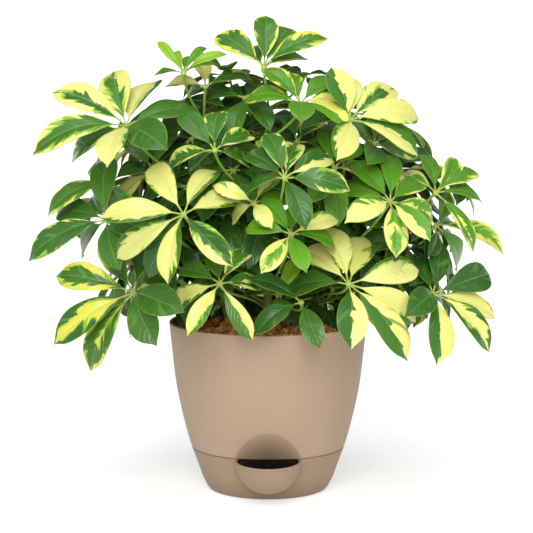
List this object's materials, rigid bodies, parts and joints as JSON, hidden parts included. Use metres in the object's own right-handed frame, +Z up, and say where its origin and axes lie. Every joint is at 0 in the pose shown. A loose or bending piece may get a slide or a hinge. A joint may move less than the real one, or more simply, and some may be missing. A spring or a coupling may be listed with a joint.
{
  "type": "potted umbrella plant",
  "caption": "Variegated dwarf umbrella plant with whorls of long-stalked leaflets, in bark and coir soil in a round self-watering pot on a water reservoir with a ball-shaped filling spout.",
  "frame": {"origin": "on the pot's axis at the underside of the reservoir, where it stands on the floor", "axes": "+Z up along the pot's axis, -Y out of the side with the filling spout, +X to the right as that side is looked at"},
  "size_m": [0.568, 0.4362, 0.5797],
  "materials": {
    "pot_plastic": "taupe moulded plastic, satin",
    "reservoir_plastic": "darker taupe moulded plastic, satin",
    "soil": "dark bark and orange-brown coir fibre",
    "stem": "green leaf stalks on stems that turn brown and scarred below",
    "leaf": "glossy waxy leaflets, deep green blotched with cream-yellow"
  },
  "bodies": {
    "root": {"pot": "pot_plastic", "reservoir": "reservoir_plastic", "soil": "soil", "stem_middle": "stem", "stem_left": "stem", "stem_right": "stem", "stem_back": "stem", "leaf_01": "leaf", "leaf_02": "leaf", "leaf_03": "leaf", "leaf_04": "leaf", "leaf_05": "leaf", "leaf_06": "leaf", "leaf_07": "leaf", "leaf_08": "leaf", "leaf_09": "leaf", "leaf_10": "leaf", "leaf_11": "leaf", "leaf_12": "leaf", "leaf_13": "leaf", "leaf_14": "leaf", "leaf_15": "leaf", "leaf_16": "leaf", "leaf_17": "leaf", "leaf_18": "leaf", "leaf_19": "leaf", "leaf_20": "leaf", "leaf_21": "leaf", "leaf_22": "leaf", "leaf_23": "leaf", "leaf_24": "leaf", "leaf_25": "leaf", "leaf_26": "leaf", "leaf_27": "leaf", "leaf_28": "leaf", "leaf_29": "leaf", "leaf_30": "leaf", "leaf_31": "leaf", "leaf_32": "leaf", "leaf_33": "leaf", "leaf_34": "leaf", "leaf_35": "leaf", "leaf_36": "leaf", "leaf_37": "leaf", "leaf_38": "leaf", "leaf_39": "leaf", "leaf_40": "leaf", "leaf_41": "leaf", "leaf_42": "leaf", "leaf_43": "leaf", "leaf_44": "leaf", "leaf_45": "leaf", "leaf_46": "leaf", "leaf_47": "leaf", "leaf_48": "leaf", "leaf_49": "leaf", "leaf_50": "leaf", "leaf_51": "leaf", "leaf_52": "leaf"}
  },
  "joints": []
}
